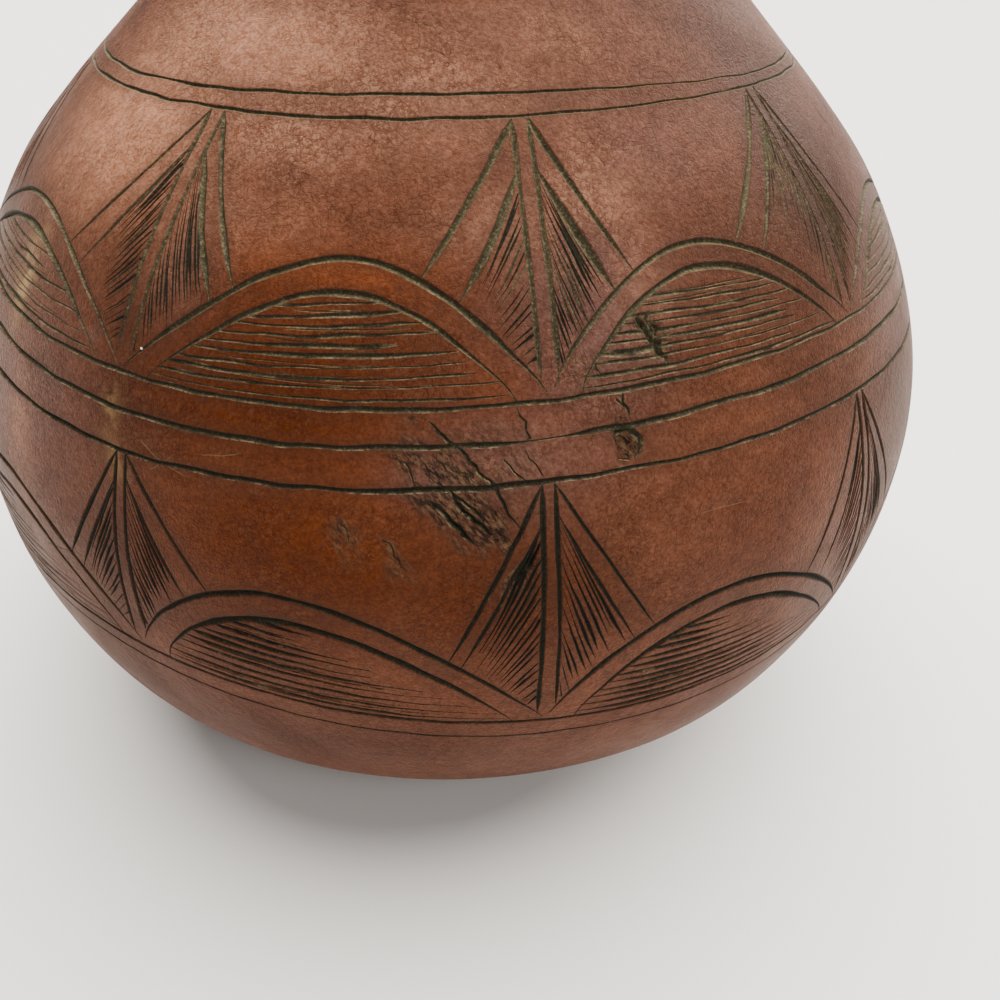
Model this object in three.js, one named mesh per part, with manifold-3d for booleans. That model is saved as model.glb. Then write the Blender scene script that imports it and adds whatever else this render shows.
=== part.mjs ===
// A drinking gourd: one dried bottle gourd, hollowed through a cut at the top of its neck, with two
// bands of arches and spear points cut into its skin between rings. It grew as one piece, so it is
// one solid. Millimetres, +Z up, the origin at the middle of the flat spot that it stands on.
// Angles are in degrees round the gourd: 0 faces -Y, 90 faces +X.
import * as THREE from "three";
import { mergeVertices } from "three/addons/utils/BufferGeometryUtils.js";
import Module from "manifold-3d";

// Driving dimensions
const BODY_RADIUS = 110;
const NECK_RADIUS = 24;
const MOUTH_RADIUS = 19;
const LIP_HEIGHT = 240;
const BODY_WALL = 5;
const NECK_WALL = 4.5;
const FLAT_RADIUS = 24;
const LINE_WIDTH = 1.4;
const LINE_DEPTH = 0.7;

// Outline of the skin, as [radius, height], from the flat spot up to the lip. The body's points are
// shares of BODY_RADIUS, so that its shape keeps its proportions.
const BODY_OUTLINE = [
  [0.38, 0.012], [0.547, 0.047], [0.685, 0.103], [0.802, 0.18], [0.893, 0.279], [0.954, 0.41],
  [0.989, 0.548], [1, 0.7], [0.989, 0.82], [0.955, 0.942], [0.9, 1.062], [0.82, 1.19],
  [0.725, 1.298], [0.62, 1.4], [0.51, 1.504],
];
const NECK_OUTLINE = [
  [45.2, 176], [36.6, 187], [30.2, 199], [26.2, 212], [NECK_RADIUS, 226],
];

// Rings cut round the body: a mean height, and how far the hand-cut line wanders up and down as
// [cos, sin] of the angle, of twice the angle and of three times the angle.
const RINGS = {
  shoulderUpper: { height: 154, waves: [[0.2, 0.7], [1.3, 0.6], [0.2, 0.1]] },
  shoulderLower: { height: 151.6, waves: [[0.2, 0.9], [1.4, 0.8], [-0.4, 0]] },
  middleUpper: { height: 117.5, waves: [[0, 0.4], [0.1, 0.9], [0.2, 0.9]] },
  middleCentre: { height: 112.5, waves: [[0, 0.4], [0, 1], [0.1, 1.1]] },
  middleLower: { height: 105.8, waves: [[0.1, 0.1], [0.4, 0.8], [0.2, 1.2]] },
  baseUpper: { height: 60.9, waves: [[-0.2, -0.7], [-1.3, -1.5], [-0.1, -1.5]] },
  baseLower: { height: 57.4, waves: [[-0.3, -0.9], [-2.2, -1.6], [-0.4, -1.4]] },
};

// The two carved rows, from the foot at the back round to the left. Each arch springs from its foot to
// the next on the floor ring, and a spear point hangs from the ceiling ring over each foot. Lengths
// are along the height. archPeaks are shares of the way across. The turns and the spreads are degrees
// from the foot to the spear's tip and to the ends of its two edges.
const ROWS = [
  {
    floor: RINGS.middleUpper,
    ceiling: RINGS.shoulderLower,
    feet: [-195, -156, -116.5, -76, -33, 8.8, 47, 88, 126.5],
    archHeights: [17.5, 18.5, 16.5, 16.5, 19, 17, 14.5, 17.5, 18],
    archPeaks: [0.5, 0.48, 0.52, 0.48, 0.52, 0.45, 0.5, 0.5, 0.52],
    bandHeights: [4, 4.3, 4, 4, 4.1, 3.1, 3.6, 4, 4.2],
    tipTurns: [0, 0.4, -0.4, 0, 0.5, -0.5, 1.8, 0.3, -0.4],
    leftSpreads: [12, 12.5, 11.5, 13, 12.8, 12.2, 15, 12, 12],
    rightSpreads: [11, 10.5, 11, 11, 10.9, 9.9, 9.6, 11, 10.5],
    plainLevels: 2,
  },
  {
    floor: RINGS.baseUpper,
    ceiling: RINGS.middleLower,
    feet: [-195, -154, -113, -72, -31.3, 8.9, 47.5, 87, 126],
    archHeights: [24, 25, 23.5, 24, 24.5, 25.3, 24, 25, 24],
    archPeaks: [0.5, 0.48, 0.5, 0.5, 0.43, 0.46, 0.5, 0.48, 0.5],
    bandHeights: [5, 4.8, 5, 5, 5, 4.6, 5, 5, 4.8],
    tipTurns: [0, 0.3, -0.3, 0, -0.1, -0.7, -1.8, 0.3, 0],
    leftSpreads: [9, 9.4, 9, 8.6, 7.8, 9.3, 10.4, 9, 9.2],
    rightSpreads: [9, 9.2, 8.8, 9, 9.4, 9.7, 8, 9, 9],
    plainLevels: 2,
  },
];

// Shares of the way from foot to foot at which the skin's columns of points stand.
const CELL_SHARES = [0, 0.07, 0.2, 0.4, 0.6, 0.8, 0.93];
const FOOT_SHARE = CELL_SHARES[1];
// Heights between which the columns turn from the lower feet to the upper ones.
const FEET_TURN = [92, 104];
const ARCH_FULLNESS = 0.8;
const INNER_FOOT_GAP = 1.5;
const OUTER_FOOT_GAP = 2.9;
// Half the width that an inner arch line keeps between its ends and the foot, where it isn't cut.
const SQUEEZED_GAP = 0.3;
const INSIDE_FLOOR = 6;
const HOLLOW_SEGMENTS = 32;
const HOLLOW_STEPS = 12;
const LIP_ROUND = 2;
const MOUTH_FLARE = 1.2;
const HOLLOW_OVERSHOOT = 3;
const SKIN_SAMPLES = 600;
const LOWEST_RING_LEVEL = 44;
const HIGHEST_RING_LEVEL = 160;
const BASE_LEVELS = 8;
const NECK_LEVELS = 7;
const SPEAR_STEPS = 3;
const CUTTER_LIFT = 0.6;
const SIMPLIFY_MM = 0.04;

const wasm = await Module();
wasm.setup();

function radians(degrees) {
  return (degrees * Math.PI) / 180;
}

// The whole outline of the skin as one smooth curve from the flat spot's edge to the lip.
function skinCurve() {
  const points = [new THREE.Vector2(FLAT_RADIUS, 0)];
  for (const [r, h] of BODY_OUTLINE) {
    points.push(new THREE.Vector2(r * BODY_RADIUS, h * BODY_RADIUS));
  }
  for (const [r, h] of NECK_OUTLINE) {
    points.push(new THREE.Vector2(r, h));
  }
  points.push(new THREE.Vector2(NECK_RADIUS, LIP_HEIGHT - LIP_ROUND));
  return new THREE.SplineCurve(points);
}

const skin = skinCurve();
const skinSamples = skin.getPoints(SKIN_SAMPLES);

// Radius of the skin at a height.
function skinRadius(height) {
  let i = 1;
  while (i < skinSamples.length - 1 && skinSamples[i].y < height) i += 1;
  const below = skinSamples[i - 1];
  const above = skinSamples[i];
  const share = (height - below.y) / (above.y - below.y);
  return below.x + share * (above.x - below.x);
}

function skinPoint(angle, height) {
  const r = skinRadius(height);
  return new THREE.Vector3(r * Math.sin(angle), -r * Math.cos(angle), height);
}

function skinNormal(angle, height) {
  const slope = skinRadius(height + 0.5) - skinRadius(height - 0.5);
  return new THREE.Vector3(Math.sin(angle), -Math.cos(angle), -slope).normalize();
}

function ringHeight(ring, angle) {
  return ring.waves.reduce(
    (height, [c, s], i) => height + c * Math.cos((i + 1) * angle) + s * Math.sin((i + 1) * angle),
    ring.height,
  );
}

// A closed outline of [radius, height], turned round the Z axis.
function turned(outline, segments) {
  const points = outline.map(([r, h]) => new THREE.Vector2(r, h));
  return new THREE.LatheGeometry(points, segments).rotateX(Math.PI / 2);
}

// A level is a line round the skin. heightAt takes the angle, the share of the way from foot to foot
// and the cell, which is the number of the foot that it starts from. depthAt takes the share.
function plainLevel(heightAt) {
  return { heightAt, depthAt: () => 0 };
}

// Plain levels between two heights, spaced evenly along the skin.
function levelsUpTo(low, high, count) {
  const part = skinSamples.filter((p) => p.y >= low && p.y <= high);
  const lengths = [0];
  for (let i = 1; i < part.length; i += 1) {
    lengths.push(lengths[i - 1] + part[i].distanceTo(part[i - 1]));
  }
  const total = lengths[lengths.length - 1];
  return Array.from({ length: count }, (_, k) => {
    const at = lengths.findIndex((length) => length >= (total * k) / (count - 1) - 1e-9);
    const height = part[at].y;
    return plainLevel(() => height);
  });
}

// Levels that share out the space between two others.
function levelsBetween(lower, upper, count) {
  return Array.from({ length: count }, (_, k) => {
    const part = (k + 1) / (count + 1);
    return plainLevel((angle, share, cell) =>
      THREE.MathUtils.lerp(lower(angle, share, cell), upper(angle, share, cell), part),
    );
  });
}

// The three levels of a V-shaped groove along a line: its two shoulders and its bottom. The groove is
// cut only where cutAt says so.
function grooveLevels(lineAt, cutAt = () => true) {
  const level = (side) => (angle, share, cell) => {
    const height = lineAt(angle, share, cell);
    const lean = skinNormal(0, height).setZ(0).length();
    return height + side * (cutAt(share) ? LINE_WIDTH / 2 : SQUEEZED_GAP) * lean;
  };
  return [
    plainLevel(level(-1)),
    { heightAt: level(0), depthAt: (share) => (cutAt(share) ? LINE_DEPTH : 0) },
    plainLevel(level(1)),
  ];
}

function ringLevels(ring) {
  return grooveLevels((angle) => ringHeight(ring, angle));
}

// Height of an arch line over its foot at a share of the way across.
function archRise(share, height, peak) {
  const skew = Math.log(0.5) / Math.log(peak);
  const turn = Math.PI * THREE.MathUtils.clamp(share, 0, 1) ** skew;
  return height * Math.sin(turn) ** ARCH_FULLNESS;
}

function outerArch(row) {
  return (angle, share, cell) => {
    const height = row.archHeights[cell] - OUTER_FOOT_GAP;
    const rise = archRise(share, height, row.archPeaks[cell]);
    return ringHeight(row.floor, angle) + OUTER_FOOT_GAP + rise;
  };
}

function innerArch(row) {
  return (angle, share, cell) => {
    const inside = (share - FOOT_SHARE) / (1 - 2 * FOOT_SHARE);
    const height = row.archHeights[cell] - row.bandHeights[cell] - INNER_FOOT_GAP;
    const rise = archRise(inside, height, row.archPeaks[cell]);
    return ringHeight(row.floor, angle) + INNER_FOOT_GAP + rise;
  };
}

// A carved row from its floor ring up to, but not with, its ceiling ring.
function rowLevels(row) {
  const ceiling = (angle) => ringHeight(row.ceiling, angle);
  const inInner = (share) => share >= FOOT_SHARE && share <= 1 - FOOT_SHARE;
  return [
    ...ringLevels(row.floor),
    ...grooveLevels(innerArch(row), inInner),
    ...grooveLevels(outerArch(row)),
    ...levelsBetween(outerArch(row), ceiling, row.plainLevels),
  ];
}

function skinLevels() {
  const [upper, lower] = ROWS;
  return [
    ...levelsUpTo(0, LOWEST_RING_LEVEL, BASE_LEVELS),
    ...ringLevels(RINGS.baseLower),
    ...rowLevels(lower),
    ...ringLevels(RINGS.middleLower),
    ...ringLevels(RINGS.middleCentre),
    ...rowLevels(upper),
    ...ringLevels(RINGS.shoulderLower),
    ...ringLevels(RINGS.shoulderUpper),
    ...levelsUpTo(HIGHEST_RING_LEVEL, LIP_HEIGHT - LIP_ROUND, NECK_LEVELS),
  ];
}

// Degrees from a foot to the next one.
function cellWidth(row, cell) {
  return (row.feet[cell + 1] ?? row.feet[0] + 360) - row.feet[cell];
}

// Angle of a column of points: it runs from a lower foot, or a share of the way to the next, up to
// the upper foot over it.
function columnAngle(cell, share, height) {
  const [upper, lower] = ROWS.map((row) => row.feet[cell] + share * cellWidth(row, cell));
  const turn = THREE.MathUtils.smoothstep(height, ...FEET_TURN);
  return radians(THREE.MathUtils.lerp(lower, upper, turn));
}

// The gourd as a solid block with its rings and arches cut: a lathe whose points then move to each
// level's own height, column by column.
function carvedBlock() {
  const levels = skinLevels();
  const crown = (NECK_RADIUS + MOUTH_RADIUS) / 2;
  const ends = [[crown, LIP_HEIGHT], [0, LIP_HEIGHT]];
  const outline = [[0, 0], ...levels.map(() => [FLAT_RADIUS, 0]), ...ends];
  const columns = ROWS[0].feet.length * CELL_SHARES.length;
  const geometry = turned(outline, columns);
  const position = geometry.getAttribute("position");
  for (let column = 0; column <= columns; column += 1) {
    const cell = Math.floor((column % columns) / CELL_SHARES.length);
    const share = CELL_SHARES[column % CELL_SHARES.length];
    const place = (row, point) =>
      position.setXYZ(column * outline.length + row, point.x, point.y, point.z);
    levels.forEach((level, k) => {
      const mean = level.heightAt(columnAngle(cell, share, 0), share, cell);
      const angle = columnAngle(cell, share, mean);
      const height = level.heightAt(angle, share, cell);
      const point = skinPoint(angle, height);
      point.addScaledVector(skinNormal(angle, height), -level.depthAt(share));
      if (k === 0) point.setZ(0);
      place(k + 1, point);
    });
    const rim = columnAngle(cell, share, LIP_HEIGHT);
    const rimPoint = new THREE.Vector3(Math.sin(rim), -Math.cos(rim), 0).multiplyScalar(crown);
    place(levels.length + 1, rimPoint.setZ(LIP_HEIGHT));
  }
  return solidOf(geometry);
}

// The hollow follows the skin at the wall's thickness and comes out at the mouth.
function hollowOutline() {
  const outline = [[0, INSIDE_FLOOR]];
  for (let i = 1; i <= HOLLOW_STEPS; i += 1) {
    const share = (1 - Math.cos((Math.PI * i) / HOLLOW_STEPS)) / 2;
    const at = skin.getPointAt(share);
    const along = skin.getTangentAt(share);
    const wall = THREE.MathUtils.lerp(BODY_WALL, NECK_WALL, share);
    outline.push([at.x - wall * along.y, Math.max(at.y + wall * along.x, INSIDE_FLOOR)]);
  }
  const flare = MOUTH_RADIUS + MOUTH_FLARE;
  const over = LIP_HEIGHT + HOLLOW_OVERSHOOT;
  outline.push([MOUTH_RADIUS, LIP_HEIGHT - LIP_ROUND], [flare, LIP_HEIGHT], [flare, over], [0, over]);
  return outline;
}

function solidOf(geometry) {
  geometry.deleteAttribute("normal");
  geometry.deleteAttribute("uv");
  const merged = mergeVertices(geometry, 1e-3);
  return new wasm.Manifold(
    new wasm.Mesh({
      numProp: 3,
      vertProperties: merged.attributes.position.array,
      triVerts: new Uint32Array(merged.index.array),
    }),
  );
}

// A three-sided bar that lies along a line on the skin, point down, and cuts a V-shaped groove.
// The path is a list of [angle, height].
function grooveCutter(path) {
  const reach = (LINE_DEPTH + CUTTER_LIFT) / LINE_DEPTH;
  const centres = path.map(([angle, height]) => skinPoint(angle, height));
  const positions = [];
  path.forEach(([angle, height], i) => {
    const before = centres[Math.max(i - 1, 0)];
    const after = centres[Math.min(i + 1, path.length - 1)];
    const along = after.clone().sub(before).normalize();
    const up = skinNormal(angle, height);
    const side = new THREE.Vector3().crossVectors(up, along).normalize();
    const half = (LINE_WIDTH / 2) * reach;
    const top = centres[i].clone().addScaledVector(up, CUTTER_LIFT);
    positions.push(top.clone().addScaledVector(side, -half));
    positions.push(top.clone().addScaledVector(side, half));
    positions.push(centres[i].clone().addScaledVector(up, -LINE_DEPTH));
  });
  const faces = [];
  const steps = path.length - 1;
  for (let i = 0; i < steps; i += 1) {
    const here = i * 3;
    const next = here + 3;
    for (let k = 0; k < 3; k += 1) {
      const m = (k + 1) % 3;
      faces.push(here + k, next + k, next + m, here + k, next + m, here + m);
    }
  }
  const end = steps * 3;
  faces.push(0, 1, 2, end, end + 2, end + 1);
  const geometry = new THREE.BufferGeometry().setFromPoints(positions);
  geometry.setIndex(faces);
  return solidOf(geometry);
}

function straightPath(start, end) {
  return Array.from({ length: SPEAR_STEPS + 1 }, (_, i) => {
    const share = i / SPEAR_STEPS;
    return [
      THREE.MathUtils.lerp(start[0], end[0], share),
      THREE.MathUtils.lerp(start[1], end[1], share),
    ];
  });
}

// One edge of the spear point over a foot, from its tip out to where it meets the arch on that side.
// side is -1 or 1.
function spearEdge(row, i, side) {
  const feet = row.feet.length;
  const cell = side > 0 ? i : (i + feet - 1) % feet;
  const spread = side > 0 ? row.rightSpreads[i] : row.leftSpreads[i];
  const away = spread / cellWidth(row, cell);
  const tip = radians(row.feet[i] + row.tipTurns[i]);
  const end = radians(row.feet[i] + side * spread);
  const height = outerArch(row)(end, side > 0 ? away : 1 - away, cell);
  return straightPath([tip, ringHeight(row.ceiling, tip)], [end, height]);
}

function spearStem(row, i) {
  const tip = radians(row.feet[i] + row.tipTurns[i]);
  const foot = radians(row.feet[i]);
  return straightPath([tip, ringHeight(row.ceiling, tip)], [foot, ringHeight(row.floor, foot)]);
}

function rowPaths(row) {
  return row.feet.flatMap((_, i) => [spearStem(row, i), spearEdge(row, i, 1), spearEdge(row, i, -1)]);
}

function carvedShell() {
  const cutters = ROWS.flatMap(rowPaths).map(grooveCutter);
  const grooves = wasm.Manifold.union(cutters);
  const hollow = solidOf(turned(hollowOutline(), HOLLOW_SEGMENTS));
  return carvedBlock().subtract(hollow).subtract(grooves).simplify(SIMPLIFY_MM);
}

function geometryOf(solid) {
  const mesh = solid.getMesh();
  const geometry = new THREE.BufferGeometry();
  geometry.setAttribute("position", new THREE.BufferAttribute(mesh.vertProperties, mesh.numProp));
  geometry.setIndex(new THREE.BufferAttribute(mesh.triVerts, 1));
  geometry.computeVertexNormals();
  return geometry;
}

const driedSkin = new THREE.MeshStandardMaterial({
  color: new THREE.Color(0.34, 0.14, 0.07),
  roughness: 0.45,
  metalness: 0,
});

const gourd = new THREE.Mesh(geometryOf(carvedShell()), driedSkin);
gourd.name = "gourd";

const drinkingGourd = new THREE.Group();
drinkingGourd.add(gourd);

export default drinkingGourd;
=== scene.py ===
"""A drinking gourd: its carved skin, its dark pigment and its worn varnish, on a pale floor.

Lengths are in millimetres and become metres where a mesh is made. Angles are in degrees round the
gourd in the tables and in radians in the code: 0 faces the camera and they grow to the right.
"""

import math
from math import pi, radians
import random
from types import SimpleNamespace

import bpy
import numpy as np
from mathutils import Matrix, Vector, noise
from mathutils.geometry import delaunay_2d_cdt
from mathutils.kdtree import KDTree


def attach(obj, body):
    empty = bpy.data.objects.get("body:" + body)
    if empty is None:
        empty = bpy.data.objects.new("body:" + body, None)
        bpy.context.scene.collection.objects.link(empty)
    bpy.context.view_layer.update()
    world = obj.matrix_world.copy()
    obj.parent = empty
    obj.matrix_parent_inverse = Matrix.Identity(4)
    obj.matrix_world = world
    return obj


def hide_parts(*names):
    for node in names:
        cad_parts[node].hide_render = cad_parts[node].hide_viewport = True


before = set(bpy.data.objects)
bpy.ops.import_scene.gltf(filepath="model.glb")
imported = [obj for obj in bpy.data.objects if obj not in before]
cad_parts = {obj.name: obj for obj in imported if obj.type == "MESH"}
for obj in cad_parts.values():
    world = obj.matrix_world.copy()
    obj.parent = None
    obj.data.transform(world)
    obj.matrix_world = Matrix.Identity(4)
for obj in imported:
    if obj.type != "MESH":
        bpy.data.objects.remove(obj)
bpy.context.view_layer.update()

MM = 0.001
DRAWS = random.Random(11)
between = DRAWS.uniform

# The skin's outline as [radius, height], the same as the solid's
BODY_RADIUS = 110
NECK_RADIUS = 24
MOUTH_RADIUS = 19
LIP_HEIGHT = 240
LIP_ROUND = 2
FLAT_RADIUS = 24
BODY_WALL = 5
NECK_WALL = 4.5
BODY_OUTLINE = [
    (0.38, 0.012), (0.547, 0.047), (0.685, 0.103), (0.802, 0.18), (0.893, 0.279), (0.954, 0.41),
    (0.989, 0.548), (1, 0.7), (0.989, 0.82), (0.955, 0.942), (0.9, 1.062), (0.82, 1.19),
    (0.725, 1.298), (0.62, 1.4), (0.51, 1.504),
]
NECK_OUTLINE = [(45.2, 176), (36.6, 187), (30.2, 199), (26.2, 212), (NECK_RADIUS, 226)]

# Rings: mean height, wander as (cos, sin) of one, two and three times the angle, and line width
RINGS = dict(
    shoulder_upper=(154, ((0.2, 0.7), (1.3, 0.6), (0.2, 0.1)), 0.78),
    shoulder_lower=(151.6, ((0.2, 0.9), (1.4, 0.8), (-0.4, 0)), 0.85),
    middle_upper=(117.5, ((0, 0.4), (0.1, 0.9), (0.2, 0.9)), 1.0),
    middle_centre=(112.5, ((0, 0.4), (0, 1), (0.1, 1.1)), 1.15),
    middle_lower=(105.8, ((0.1, 0.1), (0.4, 0.8), (0.2, 1.2)), 1.05),
    base_upper=(60.9, ((-0.2, -0.7), (-1.3, -1.5), (-0.1, -1.5)), 0.95),
    base_lower=(57.4, ((-0.3, -0.9), (-2.2, -1.6), (-0.4, -1.4)), 0.55),
)

# The two carved rows. Each list runs round the gourd from the seam at the back, one value for a foot
# or for the arch that springs from it to the next. Two lists are for a spear's left and right. Spreads
# and offsets are in degrees. Where only a few feet differ from 1, those are numbered.
FEET = 9
UPPER = dict(
    floor="middle_upper",
    ceiling="shoulder_lower",
    feet=(-195, -156, -116.5, -76, -33, 8.8, 47, 88, 126.5),
    arch_height=(17.5, 18.5, 16.5, 16.5, 19, 17, 14.5, 17.5, 18),
    arch_peak=(0.5, 0.48, 0.52, 0.48, 0.52, 0.45, 0.5, 0.5, 0.52),
    band=(4, 4.3, 4, 4, 4.1, 3.1, 3.6, 4, 4.2),
    tip_offset=(0, 0.4, -0.4, 0, 0.5, -0.5, 1.8, 0.3, -0.4),
    edge=((12, 12.5, 11.5, 13, 12.8, 12.2, 15, 12, 12),
          (11, 10.5, 11, 11, 10.9, 9.9, 9.6, 11, 10.5)),
    inner=((8.6, 9, 8.2, 9.4, 9.9, 8.4, 11.4, 8.6, 8.8),
           (8, 7.6, 8.2, 8.4, 8.6, 7.4, 7.2, 8, 7.6)),
    drop=((5, 5.4, 5, 5, 4.5, 6.2, 3.6, 5, 5),
          (5, 5, 5.4, 5, 5, 6, 4, 5, 5)),
    stem_spread=(1.1, 0.85),
    edge_width=(1.0, 1.25),
    bold=({2: 1.2, 4: 0.6, 5: 1.1, 6: 1.15}, {1: 1.2, 3: 1.1, 4: 1.25, 5: 1.5, 6: 0.7}),
    # How pale the cuts' lower edges are: raw flesh, and painted light
    raw_and_lit_rims=0.8,
    hatch_step=(1.6, 1.5, 1.6, 1.6, 1.25, 1.35, 1.5, 1.5, 1.6),
    hatch_flare=(0.2, 0.2, 0.25, 0.2, 0.28, -0.25, 0.1, 0.2, 0.2),
    hatch_fades=False,
    fans=((17, 16, 18, 17, 22, 16, 14, 17, 16),
          (15, 16, 15, 15, 17, 16, 17, 15, 16)),
    fan_width=(0.42, 0.75),
    fan_fine={6: 0.85},
    fan_dark=(0.6, 0.7, 0.5, 0.7, 0.8, 0.6, 0.1, 0.6, 0.7),
    fan_reach=(0.7, 0.7, 0.6, 0.7, 0.5, 0.76, 0.8, 0.7, 0.6),
    fan_start={6: 2.4},
)
LOWER = dict(
    floor="base_upper",
    ceiling="middle_lower",
    feet=(-195, -154, -113, -72, -31.3, 8.9, 47.5, 87, 126),
    arch_height=(24, 25, 23.5, 24, 24.5, 25.3, 24, 25, 24),
    arch_peak=(0.5, 0.48, 0.5, 0.5, 0.43, 0.46, 0.5, 0.48, 0.5),
    band=(5, 4.8, 5, 5, 5, 4.6, 5, 5, 4.8),
    tip_offset=(0, 0.3, -0.3, 0, -0.1, -0.7, -1.8, 0.3, 0),
    edge=((9, 9.4, 9, 8.6, 7.8, 9.3, 10.4, 9, 9.2),
          (9, 9.2, 8.8, 9, 9.4, 9.7, 8, 9, 9)),
    inner=((7, 7.4, 7, 6.8, 6.3, 8.2, 7.6, 7.2, 7),
           (7, 7, 6.8, 6.8, 6.8, 7.8, 6, 7, 7)),
    drop=((5, 5, 5.2, 5, 5, 6, 5, 5, 5),
          (4.4, 4.6, 4.4, 4.4, 4, 4.6, 4.4, 4.6, 4.4)),
    stem_spread=(0.55, 0.85),
    edge_width=(0.75, 1.0),
    bold=({}, {4: 1.1, 5: 0.8}),
    raw_and_lit_rims=0.15,
    hatch_step=(1.9, 2.0, 1.9, 1.9, 1.95, 1.8, 1.9, 2.0, 1.9),
    hatch_flare=(-0.1, -0.1, -0.12, -0.1, -0.12, -0.12, -0.1, -0.1, -0.1),
    hatch_fades=True,
    fans=((14, 15, 14, 14, 12, 16, 13, 14, 15),
          (12, 13, 12, 12, 12, 12, 11, 12, 13)),
    fan_width=(0.48, 0.92),
    fan_fine={},
    fan_dark=(1, 1, 1, 1, 1, 1, 0.9, 1, 1),
    fan_reach=(0.86,) * FEET,
    fan_start={},
)

# Damage in the skin: angle and height of the middle, half length and half width, the turn of its
# length from level, depth, height of its rough relief, and how raw and how dark it is
BLEMISHES = dict(
    scar=(-0.2, 106, 13, 6, -50, 0.2, 0.5, 0.8, 0.7),
    scar_tail=(2.6, 101.5, 6.5, 3.2, -55, 0.25, 0.6, 1, 0.6),
    peel=(4.2, 110.5, 8.5, 6.5, -55, 0.1, 0.16, 0.35, 0.3),
    pit=(15.5, 111.2, 3.1, 2.2, 80, 1.5, 0.6, 1, 0.5),
    pit_crack=(15, 114.6, 2.2, 0.9, 75, 0.4, 0.3, 0.5, 0.8),
    crack=(19.5, 125, 5.6, 2.2, -66, 0.4, 0.6, 0.4, 1),
    knot=(5.8, 91.8, 4.2, 2.5, 50, 0.5, 0.9, 0.8, 0.8),
    flake_left=(-9, 97.5, 4.6, 2.6, -65, 0.15, 0.35, 0.7, 0.1),
    flake_low=(-4.8, 95.5, 6.5, 1.5, -52, 0.1, 0.3, 0.6, 0.15),
    foot=(12.3, 121.5, 4.5, 3, 50, 0.1, 0.35, 0.3, 0.25),
    back_scar=(150, 96, 7, 3, 35, 0.3, 0.45, 0.6, 0.4),
    back_pit=(-120, 128, 1.8, 1.6, 0, 0.8, 0.4, 0.9, 0.5),
)
BLEMISH_STEP = 0.7

# Cracks, scratches and torn edges: width, jaggedness, how dark, how raw the rim, and their points
CRACKS = (
    (0.75, 0.35, 1, 1, ((-2.3, 116.2), (-1.2, 114.4), (0.3, 112.6), (1.2, 110.9), (2.4, 108.9),
                        (3.8, 106.9), (4, 105.1), (5, 102.5), (5.8, 100.8), (6, 98.6))),
    (0.5, 0.4, 0.9, 1, ((4.4, 110.9), (5.3, 108.6), (6.5, 107.2))),
    (0.35, 0.25, 0.9, 0.6, ((6.1, 111.9), (7.3, 109.4), (8, 107.5))),
    (0.45, 0.3, 0.8, 0.3, ((5.4, 117.8), (6.4, 115.9), (6.7, 113.8), (6.1, 112.5))),
    (0.45, 0.4, 0.8, 0.9, ((-4.4, 110.2), (-3.6, 108.5), (-3.4, 106.7))),
    (1.1, 0.3, 1, 1, ((-2, 104.9), (-0.9, 102.8), (0.1, 101.1), (1.2, 98.9), (1.9, 97.9))),
    (1.0, 0.3, 1, 0.9, ((-0.1, 104.8), (1.2, 102.8), (2.4, 101), (3.5, 99.1))),
    (0.7, 0.3, 1, 0.9, ((-0.4, 106.1), (1.5, 104), (2.7, 101.3))),
    (0.35, 0.3, 0.6, 1, ((-1.5, 110.9), (0.1, 108.3))),
    (0.35, 0.3, 0.6, 1, ((-0.6, 110.4), (1.7, 106.8))),
    (0.35, 0.3, 0.5, 1, ((0.1, 110.1), (2.4, 107))),
    (0.3, 0.3, 0.4, 1, ((-2, 108), (0.2, 105.6))),
    (0.55, 0.3, 1, 0.5, ((15.4, 118.6), (15.8, 116.5), (16.2, 114.8))),
    (0.6, 0.35, 1, 0.3, ((14.9, 118), (15.6, 116.2))),
    (0.4, 0.4, 0.7, 1, ((-6, 98.6), (-5.4, 97.5), (-4.9, 95.9), (-4.4, 94.6), (-3.7, 93.1))),
    (0.4, 0.4, 0.6, 0.8, ((-9.6, 100.4), (-9, 98.6), (-8.7, 97))),
    (1.3, 0.5, 1, 0.5, ((18.2, 128.6), (19.2, 125.5), (20.2, 123.1), (20.9, 121.3))),
    (1.0, 0.5, 1, 0.3, ((19.1, 128.6), (19.5, 126.4), (19.1, 124.6))),
    (1.2, 0.15, 1, 0.8, ((14.3, 112.3), (15, 113.5), (16.2, 113.4), (16.9, 112), (16.9, 110.4), (16.3, 109))),
    (0.4, 0.2, 0.5, 1, ((15.8, 108.8), (14.8, 109.2), (14.3, 110.4), (14.3, 111.6))),
    (0.8, 0.3, 1, 0.6, ((6.9, 94.2), (6.2, 92.4), (5.3, 89.9))),
    (0.7, 0.3, 1, 0.6, ((6.2, 94), (5.3, 92), (4.6, 90.2))),
    (0.2, 0.05, 0, 0, ((22.5, 98.2), (25, 98.4), (28.1, 97.9))),
    (0.22, 0.1, 0, 0.2, ((-29.4, 106.6), (-27.5, 104.8), (-25, 103.6), (-23.6, 102.9))),
    (0.22, 0.1, 0, 0.2, ((-28, 102.5), (-26.2, 104.9), (-25.3, 106.4))),
    (0.22, 0.1, 0, 0.2, ((-22.8, 107), (-20.5, 107.6), (-18.6, 108.8))),
    (0.9, 0.1, 0, 1, ((66.2, 145), (66.5, 143.6))),
    (0.8, 0.1, 0, 1, ((71.3, 136.3), (71.7, 134.9))),
    (0.45, 0.35, 0.8, 0.9, ((13.9, 124.5), (13.1, 122.6), (13.6, 120.9))),
    (0.5, 0.4, 0.9, 0.7, ((146, 97.5), (149.5, 95.5), (153, 92))),
    (0.4, 0.3, 0.7, 0.8, ((144, 94), (147.5, 93), (150, 90.5))),
)
STRAY_SCRATCHES = 40

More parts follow.
